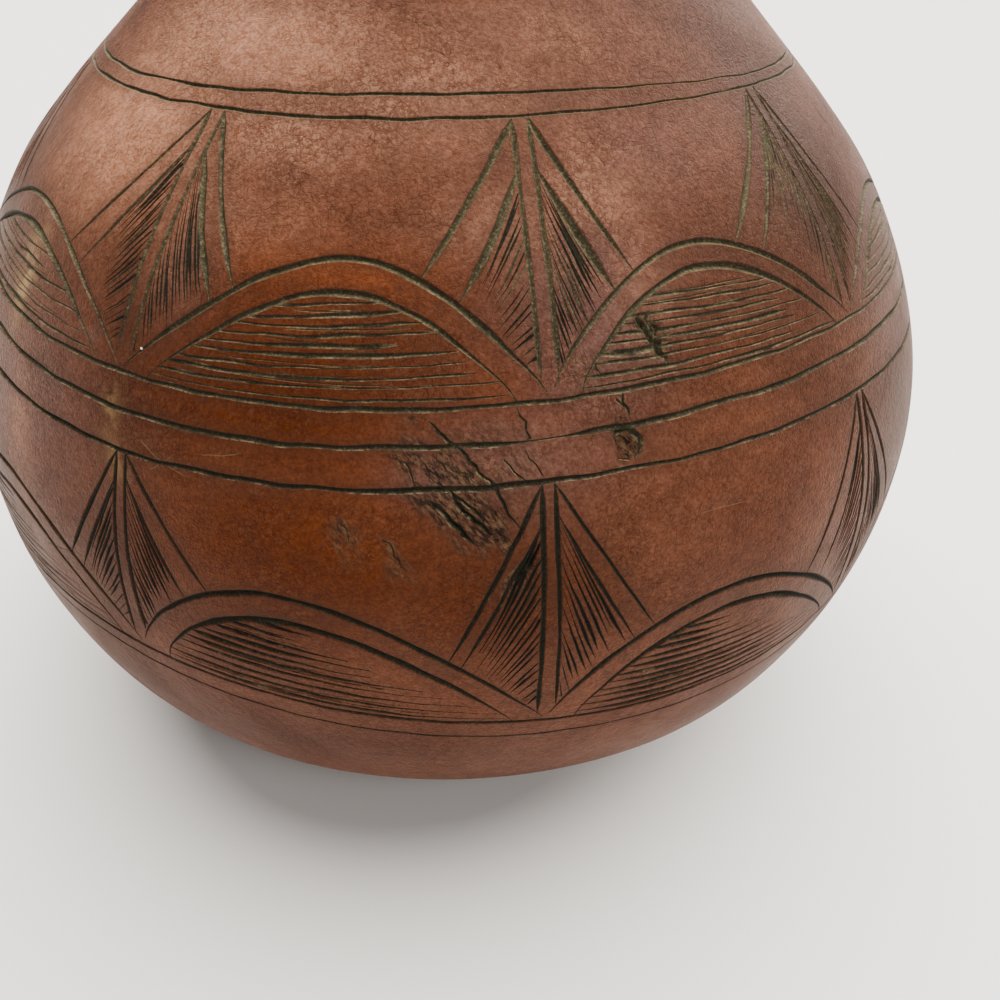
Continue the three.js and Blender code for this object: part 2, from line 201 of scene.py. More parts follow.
# Stretches of a ring that were cut lightly: middle and half width of the angle, and how lightly
LIGHT_STRETCHES = dict(
    shoulder_upper=((38, 26, 0.55), (-150, 30, 0.4)),
    shoulder_lower=((36, 26, 0.5), (120, 20, 0.4)),
    middle_upper=((45, 16, 0.35),),
    middle_centre=((8, 3.5, 0.75),),
    middle_lower=((22, 6, 0.45),),
)

# Patches of colour by mask: angle and height of the middle, half width, half height and strength
PATCHES = dict(
    rust=(
        (-17, 120, 30, 20, 1), (-14, 94, 36, 17, 1), (3, 88, 22, 13, 0.9), (-14, 141, 14, 6, 0.35),
        (31, 96, 24, 13, 0.35), (24, 121, 9, 7, 0.3), (120, 100, 40, 26, 0.8),
        (-130, 118, 36, 20, 0.7), (178, 130, 26, 14, 0.6),
    ),
    tan=(
        (-2, 155, 20, 9, 0.95), (-20, 150, 16, 8, 0.8), (5, 141, 10, 6, 0.7),
        (-33, 160, 24, 10, 1), (-46, 146, 20, 14, 1), (-30, 138, 9, 9, 0.6), (12, 163, 20, 8, 0.6),
        (14, 144, 10, 6, 0.75), (-52, 122, 8, 12, 0.35), (95, 156, 26, 12, 0.7),
        (-160, 158, 30, 12, 0.8), (-85, 150, 20, 10, 0.6),
    ),
    # Purple-pink patches: the skin's own tone, and on the front a painted sheen of reflected light.
    mauve_and_painted_sheen=(
        (13, 130, 11, 16, 1), (24, 148, 12, 8, 0.4), (6, 110, 14, 8, 0.7), (-46, 108, 16, 14, 0.5),
        (-29, 131, 7, 9, 0.5), (-1, 108, 7, 4, 0.9), (75, 120, 24, 26, 0.6),
        (-100, 100, 26, 24, 0.6), (150, 140, 24, 14, 0.7), (-8, 40, 80, 16, 0.25),
        (110, 40, 60, 16, 0.8), (-130, 40, 60, 16, 0.8),
    ),
    amber=(
        (-13, 134, 20, 4, 0.9), (-14, 128, 14, 6, 0.6), (4, 121, 5, 5, 0.6), (-8, 103, 10, 8, 0.4),
        (-6, 46, 90, 22, 0.4), (140, 125, 16, 6, 0.5),
    ),
    pale=(
        (-52.2, 121.5, 2.3, 7.5, 1), (-33.2, 109.5, 1.2, 3.6, 0.5), (-31.8, 102, 2, 3, 0.35),
    ),
    # Painted sheen: paler patches where reflected light falls, at the upper left, down the left side, beside
    # a spear and at the back.
    painted_sheen=(
        (-46, 148, 17, 16, 0.85), (-34, 160, 18, 8, 0.7), (-20, 139, 12, 5, 0.2),
        (16, 143, 9, 5, 0.12), (-47.5, 97, 5, 14, 0.3), (19, 131, 4, 7, 0.25),
        (-160, 158, 24, 9, 0.6),
    ),
    # Painted shade: darker patches on the right side, high on the shoulder, round the base and at the left.
    deep=(
        (52, 140, 16, 26, 1), (54, 100, 14, 20, 0.6), (6, 174, 70, 11, 0.5),
        (-14, 48, 60, 14, 0.72), (40, 44, 40, 14, 0.5), (-33, 111, 9, 8, 0.5),
        (-44, 110, 10, 9, 0.55), (-110, 84, 40, 14, 0.5), (110, 60, 40, 14, 0.4),
    ),
    smudge=(
        (-16, 80.5, 6, 2.6, 0.9), (7, 66, 3, 5, 0.7), (-27, 133, 4, 7, 0.5),
        (5.4, 91.5, 4, 4, 0.6), (-33.5, 122, 3, 4, 0.6), (19.5, 125, 3, 5, 0.6),
        (12, 104, 3, 3, 0.3), (-1.2, 107, 5, 6, 0.7), (3.5, 101, 4, 5, 0.5),
        (11.5, 131, 2.6, 7, 0.55), (-37, 131, 3, 8, 0.6), (4.5, 131, 2.6, 5, 0.35),
        (4, 84, 3, 8, 0.45), (49, 95, 2.5, 10, 0.5), (-31.5, 80, 7, 8, 0.35),
    ),
)

SEAM_ANGLE = radians(-195)
TURN = 2 * pi
OUTLINE_SAMPLES = 160

# The skin is cut on a flat chart: angle times CHART_SCALE across, distance along the outline up
CHART_SCALE = 100
CHART_LEFT = SEAM_ANGLE * CHART_SCALE
CHART_RIGHT = (SEAM_ANGLE + TURN) * CHART_SCALE
COLUMNS = 144
FILL_STEP = 3.0
WELD = 2e-3

# Strokes: spacing of their cross-sections, blunt ends, depth, and how far their width varies
MAIN_STEP = 2.1
HATCH_STEP = 2.7
STROKE_END = 0.35
SHORTEST_STROKE = 1.2
DEPTH_TO_WIDTH = 0.45
SWELL = 0.45
THINNEST = 0.16
RUB_REACH = 1.5

# Arches: share of the span that the inner line is set in by, roundness, and points along a line
ARCH_INSET = 0.075
ARCH_ROUNDNESS = 0.8
FOOT_GAP = radians(0.3)
RING_SAMPLES = 400
ARCH_SAMPLES = 60
HATCH_SAMPLES = 90
HATCH_CUT_SHORT = 0.45

PATCH_FALL = 0.9
SHARP_ANGLE = radians(28)
INNER_LIP_ROUND = 1.2
LIP_STEPS = 5
HOLLOW_ROWS = 44
HOLLOW_FLOOR = BODY_WALL + 1
HOLLOW_FLOOR_RADIUS = 12
FLAT_ROWS = [(16, 0), (8, 0)]


def catmull_rom(points, samples):
    """The uniform Catmull-Rom curve through the points, which the solid's outline is too."""
    p = np.array(points, float)
    padded = np.vstack([p[:1], p, p[-1:]])
    t = np.linspace(0, 1, samples, endpoint=False)[:, None]
    curve = []
    for i in range(len(p) - 1):
        p0, p1, p2, p3 = padded[i:i + 4]
        v0, v1 = (p2 - p0) / 2, (p3 - p1) / 2
        curve.append(
            (2 * p1 - 2 * p2 + v0 + v1) * t**3 + (3 * p2 - 3 * p1 - 2 * v0 - v1) * t**2 + v0 * t + p1
        )
    return np.vstack(curve + [p[-1:]])


def skin_outline():
    body = [(r * BODY_RADIUS, h * BODY_RADIUS) for r, h in BODY_OUTLINE]
    top = (NECK_RADIUS, LIP_HEIGHT - LIP_ROUND)
    return catmull_rom([(FLAT_RADIUS, 0), *body, *NECK_OUTLINE, top], OUTLINE_SAMPLES)


OUTLINE = skin_outline()
ALONG = np.r_[0, np.cumsum(np.hypot(*np.diff(OUTLINE, axis=0).T))]
TANGENT = np.gradient(OUTLINE, ALONG, axis=0)
TANGENT /= np.hypot(*TANGENT.T)[:, None]
LENGTH = ALONG[-1]


def radius_at(s):
    return np.interp(s, ALONG, OUTLINE[:, 0])


def height_at(s):
    return np.interp(s, ALONG, OUTLINE[:, 1])


def along_at(height):
    """Distance along the outline, from the flat spot's edge, at a height."""
    return np.interp(height, OUTLINE[:, 1], ALONG)


def tangent_at(s):
    return np.interp(s, ALONG, TANGENT[:, 0]), np.interp(s, ALONG, TANGENT[:, 1])


def skin_points(angle, s):
    """Points on the skin and its outward normals, for arrays of angle and distance along."""
    r, h = radius_at(s), height_at(s)
    tr, th = tangent_at(s)
    sin, cos = np.sin(angle), np.cos(angle)
    points = np.stack([r * sin, -r * cos, h], -1)
    normals = np.stack([th * sin, -th * cos, -tr], -1)
    return points, normals


def ring_height(name, angle):
    mean, waves, _ = RINGS[name]
    height = mean
    for i, (c, s) in enumerate(waves, 1):
        height = height + c * np.cos(i * angle) + s * np.sin(i * angle)
    return height


class Row:
    """One carved row: where its feet, arches and spear points run, as heights over the angle."""

    def __init__(self, data):
        self.data = data
        self.feet = [radians(a) for a in data["feet"]]
        self.feet.append(self.feet[0] + TURN)

    def floor(self, angle):
        return ring_height(self.data["floor"], angle)

    def ceiling(self, angle):
        return ring_height(self.data["ceiling"], angle)

    def arch(self, i, angle, inner=False):
        """Height of arch i's outer or inner line."""
        start, end = self.feet[i], self.feet[i + 1]
        height = self.data["arch_height"][i]
        if inner:
            inset = ARCH_INSET * (end - start)
            start, end = start + inset, end - inset
            height -= self.data["band"][i]
        share = np.clip((angle - start) / (end - start), 0, 1)
        skew = math.log(0.5) / math.log(self.data["arch_peak"][i])
        return self.floor(angle) + height * np.sin(pi * share**skew) ** ARCH_ROUNDNESS

    def under_arch(self, i, samples):
        """Angles across the inner line of arch i."""
        inset = ARCH_INSET * (self.feet[i + 1] - self.feet[i])
        return np.linspace(self.feet[i] + inset, self.feet[i + 1] - inset, samples)

    def arch_on(self, foot, side):
        """The arch on one side of a foot: side is -1 for left and 1 for right."""
        return foot if side > 0 else (foot - 1) % FEET

    def side_arch_height(self, foot, side, offset):
        """Height of the outer arch line at an angle away from a foot."""
        i = self.arch_on(foot, side)
        base = self.feet[i] if side > 0 else self.feet[i + 1]
        return self.arch(i, base + side * offset)


ROWS = {"upper": Row(UPPER), "lower": Row(LOWER)}


# Strokes of the knife
strokes = []


def wave(x, y, z):
    return noise.noise(Vector((x, y, z)))


def smooth(t):
    t = np.clip(t, 0, 1)
    return t * t * (3 - 2 * t)


def leaf(rise, fall):
    """A cut's width along it: it swells over the rise and thins out over the fall."""
    return lambda t: smooth((t + 0.02) / rise) * smooth((1.02 - t) / fall)


def lobed(centre, spread):
    """A thin cut with one thick stretch."""
    return lambda t: leaf(0.05, 0.08)(t) * (0.42 + 0.58 * np.exp(-(((t - centre) / spread) ** 2)))


def stations(total, step, closed):
    """Distances along a stroke for its cross-sections, and how fully each one is cut."""
    n = max(3, int(round(total / step)) + 1)
    if closed:
        return np.linspace(0, total, n), np.ones(n)
    inner = np.linspace(STROKE_END, total - STROKE_END, n - 1)
    return np.r_[0, inner, total], np.r_[0, np.ones(n - 1), 0]


def stroke(points, width, shape=None, rows=5, step=MAIN_STEP, wobble=0.12, closed=False,
           ink=1.0, rim=1.0, lit=1.0, depth=DEPTH_TO_WIDTH, jag=0.0):
    """Lays one cut along points of (angle, height).

    Ink is 1 where pigment fills it and 0 where it is raw. Rim says how pale its lower edge is, raw
    and painted lit, and lit how much painted-lit olive and dust it shows.
    """
    points = np.array(points, float)
    chart = np.stack([points[:, 0], along_at(points[:, 1])], -1)
    pos, _ = skin_points(chart[:, 0], chart[:, 1])
    lengths = np.r_[0, np.cumsum(np.linalg.norm(np.diff(pos, axis=0), axis=1))]
    total = lengths[-1]
    if total < SHORTEST_STROKE:
        return
    at, full = stations(total, step, closed)
    angle = np.interp(at, lengths, chart[:, 0])
    s = np.interp(at, lengths, chart[:, 1])
    t = at / total
    phase = between(0, 100)
    if closed:
        swell = np.array([wave(math.cos(a) * 9, math.sin(a) * 9, phase) for a in angle])
        fade = shape(angle)
    else:
        swell = np.array([wave(v * 0.11, phase, 0) for v in at])
        fade = (shape or leaf(0.08, 0.08))(t)
    wide = width * (1 + SWELL * swell) * (THINNEST + (1 - THINNEST) * fade)
    drift = wobble * np.array([wave(v * 0.16, phase, 7) for v in at])
    if closed:
        wide[-1] = wide[0]
        drift = drift * smooth(t / 0.05) * smooth((1 - t) / 0.05)
    drift += jag * full * np.array([between(-1, 1) for _ in at])
    r = radius_at(s)
    dx, dy = np.gradient(angle) * r, np.gradient(s)
    norm = np.hypot(dx, dy)
    side = np.stack([-dy / norm, dx / norm], -1)
    if closed:
        side[0] = side[-1] = (0, 1)
    angle = angle + side[:, 0] * drift / r
    s = s + side[:, 1] * drift
    strokes.append(SimpleNamespace(
        angle=angle, s=s, side=side, r=r, width=wide,
        depth=wide * depth, rows=rows, tone=(ink, rim, lit), full=full,
    ))


def line(a, b, bend=0.0, n=9):
    """A nearly straight cut from (angle, height) a to b, bowed a little to one side."""
    t = np.linspace(0, 1, n)[:, None]
    p = np.array(a) * (1 - t) + np.array(b) * t
    p[:, 1] += bend * np.sin(pi * t[:, 0])
    return p


def pressure(name):
    """How firmly a ring is cut, over the angle."""
    def firm(angles):
        result = np.ones(len(angles))
        for middle, half, light in LIGHT_STRETCHES.get(name, ()):
            away = (np.degrees(angles) - middle + 180) % 360 - 180
            result = result - light * smooth(1.4 - np.abs(away) / half)
        return result
    return firm


def cut_rings():
    angles = np.linspace(SEAM_ANGLE, SEAM_ANGLE + TURN, RING_SAMPLES)
    for name, (_, _, width) in RINGS.items():
        # How pale the lower edge is: raw flesh, and painted light
        rim = 0.2 if name.startswith("base") else 0.9
        path = np.stack([angles, ring_height(name, angles)], -1)
        stroke(path, width, pressure(name), closed=True, wobble=0.35, rim=rim)


def cut_arches(row):
    rim = row.data["raw_and_lit_rims"]
    for i in range(FEET):
        angles = np.linspace(row.feet[i] + FOOT_GAP, row.feet[i + 1] - FOOT_GAP, ARCH_SAMPLES)
        outer = np.stack([angles, np.maximum(row.arch(i, angles), row.floor(angles) + 0.3)], -1)
        stroke(outer, between(1.15, 1.4), leaf(0.2, 0.2), wobble=0.25, rim=rim)
        angles = row.under_arch(i, ARCH_SAMPLES)
        inner = np.stack([angles, row.arch(i, angles, inner=True)], -1)
        stroke(inner, between(1.2, 1.55), leaf(0.3, 0.3), wobble=0.25, rim=rim)


def hatch_arch(row, i):
    """Long cuts that follow the floor ring under an arch and draw apart or together to the right."""
    angles = row.under_arch(i, HATCH_SAMPLES)
    floor = row.floor(angles)
    room = row.arch(i, angles, inner=True) - floor
    step = row.data["hatch_step"][i]
    flare = 1 + row.data["hatch_flare"][i] * np.linspace(0, 1, HATCH_SAMPLES)
    level = step * 0.8
    while level < room.max() - 0.6:
        inside = np.nonzero(room > level * flare)[0]
        if len(inside) > 8:
            picked = np.arange(*hatch_span(row, inside, level / room.max()))
            t = np.linspace(0, 1, len(picked))
            z = floor[picked] + level * flare[picked] + between(-0.3, 0.3) * (t - 0.5)
            hatch_line(row, np.stack([angles[picked], z], -1))
            if DRAWS.random() < 0.5:
                stray_line(angles, floor + level * flare, picked, between(0.5, 0.8) * step)
        level += step * between(0.85, 1.12)


def hatch_span(row, inside, rise):
    """Where a cut under an arch starts and ends. In the lower row, high ones end early."""
    a, b = max(inside[0] - 1, 0), min(inside[-1] + 1, HATCH_SAMPLES - 1)
    if row.data["hatch_fades"]:
        b = a + int((b - a) * (1 - 0.6 * between(0.7, 1.05) * smooth(rise - 0.1)))
    elif DRAWS.random() < HATCH_CUT_SHORT:
        b = a + int((b - a) * between(0.75, 1.0))
    return a, b + 1


def hatch_line(row, path):
    """One cut under an arch: in the upper row thick here and there, in the lower row at its start."""
    if row.data["hatch_fades"]:
        shape = leaf(between(0.12, 0.3), between(0.7, 0.85))
        width = between(0.95, 1.3)
    else:
        shape = lobed(DRAWS.choice((0.08, 0.15, 0.5, 0.62, 0.75)), between(0.2, 0.34))
        width = between(0.6, 1.2)
    stroke(path, width, shape, rows=3, step=HATCH_STEP, wobble=0.3, rim=row.data["raw_and_lit_rims"])


def stray_line(angles, heights, picked, gap):
    """A thin scratch that leaves one cut under an arch and runs out above the next."""
    first = int(between(0, 0.35) * len(picked))
    last = int(between(0.6, 0.95) * len(picked))
    part = picked[first:last]
    if len(part) > 6:
        lift = gap * np.linspace(DRAWS.choice((0.1, 1)), DRAWS.choice((0.25, 0.7)), len(part))
        path = np.stack([angles[part], heights[part] + lift], -1)
        stroke(path, between(0.25, 0.45), rows=3, step=HATCH_STEP, wobble=0.15, ink=0.6, rim=0.6)


def cut_spear(row, i):
    """A spear point over foot i: two stems, an edge and an inner line each side, and their fans."""
    d = row.data
    foot = row.feet[i]
    tip = foot + radians(d["tip_offset"][i])
    top, bottom = (radians(a) for a in d["stem_spread"])
    low, high = d["edge_width"]
    rim = 0.5 * d["raw_and_lit_rims"]
    for side in (-1, 1):
        right = int(side > 0)
        edge, inner = (radians(d[name][right][i]) for name in ("edge", "inner"))
        drop, bold = d["drop"][right][i], d["bold"][right].get(i, 1)
        base = foot + (TURN if i == 0 and side < 0 else 0)
        head, heel = tip - foot + base + side * top, base + side * bottom
        head_z = row.ceiling(head)
        heel_z = row.side_arch_height(i, side, bottom) + 0.4
        stem = ((head, head_z), (heel, heel_z))
        stroke(line(*stem), between(0.9, 1.1), leaf(0.08, 0.12), rim=rim)
        end = (base + side * edge, row.side_arch_height(i, side, edge))
        stroke(line((head, head_z - 0.3), end, bend=between(-0.4, 0.6)),
               between(low, high) * min(bold, 1.2), leaf(0.12, 0.25), rim=rim)
        share = drop / (head_z - heel_z)
        start = (head + (heel - head) * share, head_z - drop)
        end = (base + side * inner, row.side_arch_height(i, side, inner) + 0.2)
        stroke(line(start, end, bend=between(-0.3, 0.5)),
               between(low, high + 0.1) * bold, leaf(0.25, 0.3), rim=rim)
        fan(row, i, side, base, stem, drop, inner)


def fan(row, i, side, base, stem, drop, inner):
    """Fine cuts from a spear's stem out to the arch, between its inner line and its foot.

    On the left they leave the stem one below the other, like a feather. On the right they spread
    from high up the stem and thicken before they end.
    """
    (head, head_z), (heel, heel_z) = stem
    n = row.data["fans"][side > 0][i]
    low, high = (w * row.data["fan_fine"].get(i, 1) for w in row.data["fan_width"])
    height = head_z - heel_z
    start_power = row.data["fan_start"].get(i, 1) if side < 0 else 1.6
    flat = 0.65 if start_power == 1 else 1
    heel_away = radians(row.data["stem_spread"][1]) * 1.1
    for k in range(1, n + 1):
        share = np.clip((k - 0.4 + between(-0.22, 0.22)) / (n + 0.6), 0.02, 0.98)
        down = (drop + (height - drop) * share ** start_power * 0.94) / height
        start = np.array((head + (heel - head) * down + side * radians(0.2), head_z - height * down))
        away = inner * 0.95 * (1 - share) ** flat + heel_away * share
        end_z = row.side_arch_height(i, side, away)
        if side < 0:
            least = row.data["fan_reach"][i]
            reach = least + (0.92 - least) * share + between(-0.08, 0.08)
            shape = leaf(between(0.04, 0.25), between(0.55, 0.85))
        else:
            reach = between(0.8, 1.0)
            shape = leaf(between(0.7, 0.95), between(0.2, 0.35))
        aim_at = np.array((base + side * away, end_z))
        end = start + (aim_at - start) * reach
        # Painted light: this cut may show olive where it faces the light
        dusty_and_lit = DRAWS.random() > row.data["fan_dark"][i]
        stroke(line(start, end, bend=between(-0.35, 0.15), n=6), between(low, high),
               shape, rows=3, step=HATCH_STEP, wobble=0.25, rim=0.3 * row.data["raw_and_lit_rims"],
               lit=1.0 if dusty_and_lit else between(0, 0.3))


def cut_cracks():
    for width, jag, dark, raw, path in CRACKS:
        points = [(radians(a), z) for a, z in path]
        stroke(points, width, leaf(0.12, 0.3), rows=3, step=1.1, wobble=0.3, ink=dark, rim=raw,
               depth=0.6 if dark > 0 else 0.2, jag=jag)


def scratch_at_random():
    """Faint scratches of long use, anywhere on the body."""
    for _ in range(STRAY_SCRATCHES):
        angle, height = between(-3.3, 2.9), between(62, 146)
        slope, length = between(-1.4, 1.4), between(3, 9)
        end = (angle + length * math.cos(slope) / 105, height + length * math.sin(slope) * 0.7)
        stroke(line((angle, height), end, bend=between(-0.6, 0.6), n=6), between(0.14, 0.22),
               rows=3, step=HATCH_STEP, wobble=0.3, ink=DRAWS.choice((0.3, 0.3, 0.7)), rim=0, depth=0.25)


def carve():
    cut_rings()
    for row in ROWS.values():
        cut_arches(row)
        for i in range(FEET):
            hatch_arch(row, i)
            cut_spear(row, i)
    cut_cracks()
    scratch_at_random()


def stroke_vertices():
    """Chart points and constraint edges of every stroke's cross-sections."""
    points, edges = [], []
    for k in strokes:
        shares = (-1, -0.5, 0, 0.5, 1) if k.rows == 5 else (-1, 0, 1)
        count = len(k.angle)
        for share in shares:
            off = share * k.width / 2
            base = len(points)
            x = (k.angle + k.side[:, 0] * off / k.r) * CHART_SCALE
            y = k.s + k.side[:, 1] * off
            points.extend(zip(x.tolist(), y.tolist()))
            edges.extend((base + j, base + j + 1) for j in range(count - 1))
    return points, edges


def segments():
    """Every stroke's short straight pieces as arrays, in chart coordinates."""
    a, b, wide, deep, tone, full = [], [], [], [], [], []
    for k in strokes:
        p = np.stack([k.angle * CHART_SCALE, k.s], -1)
        a.append(p[:-1])
        b.append(p[1:])
        wide.append(np.stack([k.width[:-1], k.width[1:]], -1) / 2)
        deep.append(np.stack([k.depth[:-1], k.depth[1:]], -1))
        tone.append(np.full((len(p) - 1, 3), k.tone))
        full.append(np.stack([k.full[:-1], k.full[1:]], -1))
    return tuple(np.concatenate(v) for v in (a, b, wide, deep, tone, full))


def pairs_near(points, seg, reach):
    """Pairs of a point and a segment whose middle lies within reach of it."""
    a, b = seg[0], seg[1]
    middle = (a + b) / 2
    mid3, _ = skin_points(middle[:, 0] / CHART_SCALE, middle[:, 1])
    at3, _ = skin_points(points[:, 0] / CHART_SCALE, points[:, 1])
    tree = KDTree(len(mid3))
    for i, p in enumerate(mid3):
        tree.insert(p, i)
    tree.balance()
    which, segment = [], []
    for i, p in enumerate(at3):
        for _, j, _ in tree.find_range(p, reach):
            which.append(i)
            segment.append(j)
    return np.array(which, int), np.array(segment, int)


def largest(which, values):
    """Index of each point's largest value, among pairs."""
    order = np.lexsort((values, which))
    ends = np.r_[np.nonzero(np.diff(which[order]))[0], len(order) - 1]
    return order[ends]


def cut_depths(points, seg):
    """The carving at chart points: depth, share of a full cut, ink, the raw and painted-lit lower rim, the
    lower side that is painted lit, and nearness.
    """
    which, j = pairs_near(points, seg, HATCH_STEP / 2 + 1.6)
    a, b, wide, deep, tone, ends = (v[j] for v in seg)
    p = points[which]
    scale = np.stack([radius_at(p[:, 1]) / CHART_SCALE, np.ones(len(p))], -1)
    e, d = (b - a) * scale, (p - a) * scale
    t = np.clip((d * e).sum(1) / np.maximum((e * e).sum(1), 1e-9), 0, 1)
    off = d - e * t[:, None]
    q = np.hypot(off[:, 0], off[:, 1])
    half = wide[:, 0] + (wide[:, 1] - wide[:, 0]) * t
    full = deep[:, 0] + (deep[:, 1] - deep[:, 0]) * t
    share = np.clip(1 - (q / np.maximum(half, 1e-6)) ** 1.3, 0, 1)
    share = share * (ends[:, 0] + (ends[:, 1] - ends[:, 0]) * t)
    depth = full * share
    pick = largest(which, depth)
    out = {k: np.zeros(len(points)) for k in ("depth", "cut", "rim", "ink", "near", "lean")}
    v = which[pick]
    out["depth"][v] = depth[pick]
    out["cut"][v] = share[pick]
    below = -off[pick, 1] / np.maximum(half[pick], 1e-6)
    out["rim"][v] = smooth((below - 0.4) / 0.5) * tone[pick, 1]
    out["ink"][v] = tone[pick, 0]
    # Lean: towards the lower wall, which is painted lit
    out["lean"][v] = np.clip(0.5 + 0.5 * below, 0, 1) * tone[pick, 2]
    near = np.clip(1 - (q - half) / RUB_REACH, 0, 1) * tone[:, 0] * np.minimum(half / 0.35, 1)
    pick = largest(which, near)
    out["near"][which[pick]] = near[pick]
    return out


def local(points, angle, height, turn=0):
    """Chart points seen from a place on the skin, in millimetres along and across its length."""
    s0 = along_at(height)
    away = points[:, 0] / CHART_SCALE - radians(angle)
    away = (away + pi) % TURN - pi
    x, y = away * radius_at(s0), points[:, 1] - s0
    c, n = math.cos(radians(turn)), math.sin(radians(turn))
    return x * c + y * n, y * c - x * n


def blemishes_at(points):
    """Depth of the damage at chart points, and how raw and how dark it leaves them."""
    out = {k: np.zeros(len(points)) for k in ("dent", "raw", "dark")}
    for angle, height, length, width, turn, depth, rough, raw, dark in BLEMISHES.values():
        u, v = local(points, angle, height, turn)
        inside = np.nonzero((np.abs(u) < length * 1.4) & (np.abs(v) < width * 1.6))[0]
        for i in inside:
            edge = wave(u[i] * 0.35, v[i] * 0.5, height)
            reach = math.hypot(u[i] / length, v[i] / width) + 0.35 * edge
            mask = float(smooth((1.08 - reach) / 0.35))
            if mask <= 0:
                continue
            ridge = wave(u[i] * 0.16, v[i] * 0.95, angle)
            grit = wave(u[i] * 0.7, v[i] * 1.5, angle + 9)
            relief = ridge * 0.75 + grit * 0.4
            out["dent"][i] += mask * (depth * (1.3 - min(reach, 1.2)) + rough * abs(relief))
            tone = wave(u[i] * 0.2, v[i] * 0.8, angle + 21)
            out["raw"][i] = max(out["raw"][i], mask * raw * float(smooth((tone + 0.5) / 0.7)))
            out["dark"][i] = max(out["dark"][i], mask * dark * float(smooth((0.3 - relief) / 0.6)))
    return out


def patches_at(points):
    """Strength of every patch mask at chart points."""
    masks = {name: np.zeros(len(points)) for name in PATCHES}
    for name, patches in PATCHES.items():
        for angle, height, wide, tall, strength in patches:
            x, y = local(points, angle, height)
            value = strength * np.exp(-((x / wide) ** 2 + (y / tall) ** 2) * PATCH_FALL)
            masks[name] = np.maximum(masks[name], value)
    return masks


def clear_of_cuts(points, seg, margin):
    """The points that lie further than the margin from every cut."""
    points = np.array(points)
    a, b, wide, deep, tone, full = seg
    widened = (a, b, wide + margin, np.ones_like(deep), tone, np.ones_like(full))
    return points[cut_depths(points, widened)["depth"] <= 0]


def blemish_points(seg):
    """Close points where the skin is damaged, off the cuts' own points."""
    points = []
    for angle, height, length, width, turn, *_ in BLEMISHES.values():
        s0 = along_at(height)
        c, n = math.cos(radians(turn)), math.sin(radians(turn))
        for u in np.arange(-length * 1.2, length * 1.2, BLEMISH_STEP):
            for v in np.arange(-width * 1.3, width * 1.3, BLEMISH_STEP):
                if math.hypot(u / length, v / width) < 1.2:
                    u2 = u + between(-0.2, 0.2)
                    v2 = v + between(-0.2, 0.2)
                    x, y = u2 * c - v2 * n, u2 * n + v2 * c
                    points.append(((radians(angle) + x / radius_at(s0)) * CHART_SCALE, s0 + y))
    return clear_of_cuts(points, seg, 0.25)


def fill_points(seg):
    """A loose net of points between the cuts."""
    rows = int(LENGTH / (FILL_STEP * 0.87))
    points = []
    for k in range(1, rows):
        s = LENGTH * k / rows
        n = max(40, int(TURN * radius_at(s) / FILL_STEP))
        shift = 0.5 * (k % 2)
        for m in range(n):
            share = (m + 0.25 + shift * 0.5) / n
            points.append(((SEAM_ANGLE + TURN * share) * CHART_SCALE, s))
    return clear_of_cuts(points, seg, 0.7)


def border_points(inner_points):
    """Points on the chart's four sides. The seam's two sides match, so that they weld."""
    x = CHART_LEFT + (CHART_RIGHT - CHART_LEFT) * np.arange(COLUMNS + 1) / COLUMNS
    border = [(v, 0.0) for v in x] + [(v, LENGTH) for v in x]
    taken = sorted(p[1] for p in inner_points if abs(p[0] - CHART_LEFT) < 1e-6)
    rows = int(LENGTH / FILL_STEP)
    for k in range(1, rows):
        s = LENGTH * k / rows
        if all(abs(s - t) > 0.8 for t in taken):
            border += [(CHART_LEFT, s), (CHART_RIGHT, s)]
    return border


def carved_chart():
    """Triangulates the chart with every cut's edges in it."""
    seg = segments()
    cut_points, edges = stroke_vertices()
    loose = np.vstack([fill_points(seg), blemish_points(seg)])
    points = cut_points + border_points(cut_points) + [tuple(p) for p in loose]
    out = delaunay_2d_cdt([Vector(p) for p in points], edges, [], 0, 1e-4, False)
    chart = np.array([tuple(v) for v in out[0]])
    faces = np.array(out[2], int)
    return chart, faces, seg


def lumps(points):
    """The gentle unevenness of a grown skin."""
    return np.array([
        0.35 * noise.noise(Vector(p) / 55) + 0.1 * noise.noise(Vector(p) / 17 + Vector((3, 1, 7)))
        for p in points
    ])


def weld_seam(chart, faces):
    at_left = np.nonzero(np.abs(chart[:, 0] - CHART_LEFT) < WELD)[0]
    at_right = np.nonzero(np.abs(chart[:, 0] - CHART_RIGHT) < WELD)[0]
    at_left = at_left[np.argsort(chart[at_left, 1])]
    at_right = at_right[np.argsort(chart[at_right, 1])]
    if len(at_left) != len(at_right):
        raise RuntimeError(f"seam sides differ: {len(at_left)} and {len(at_right)}")
    twin = np.arange(len(chart))
    twin[at_right] = at_left
    return twin[faces]


def skin_mesh():
    chart, faces, seg = carved_chart()
    cut = cut_depths(chart, seg)
    harm = blemishes_at(chart)
    base, normals = skin_points(chart[:, 0] / CHART_SCALE, chart[:, 1])
    lift = lumps(base) * smooth(base[:, 2] / 6) * smooth((LIP_HEIGHT - base[:, 2]) / 12)
    points = base + normals * (lift - cut["depth"] - harm["dent"])[:, None]
    masks = {**cut, **harm, **patches_at(chart)}
    return chart, points, weld_seam(chart, faces), masks


def ring_rows(outline):
    """Rows of COLUMNS points turned from an outline of (radius, height)."""
    angles = SEAM_ANGLE + TURN * np.arange(COLUMNS) / COLUMNS
    return [np.stack([r * np.sin(angles), -r * np.cos(angles), np.full(COLUMNS, h)], -1) for r, h in outline]


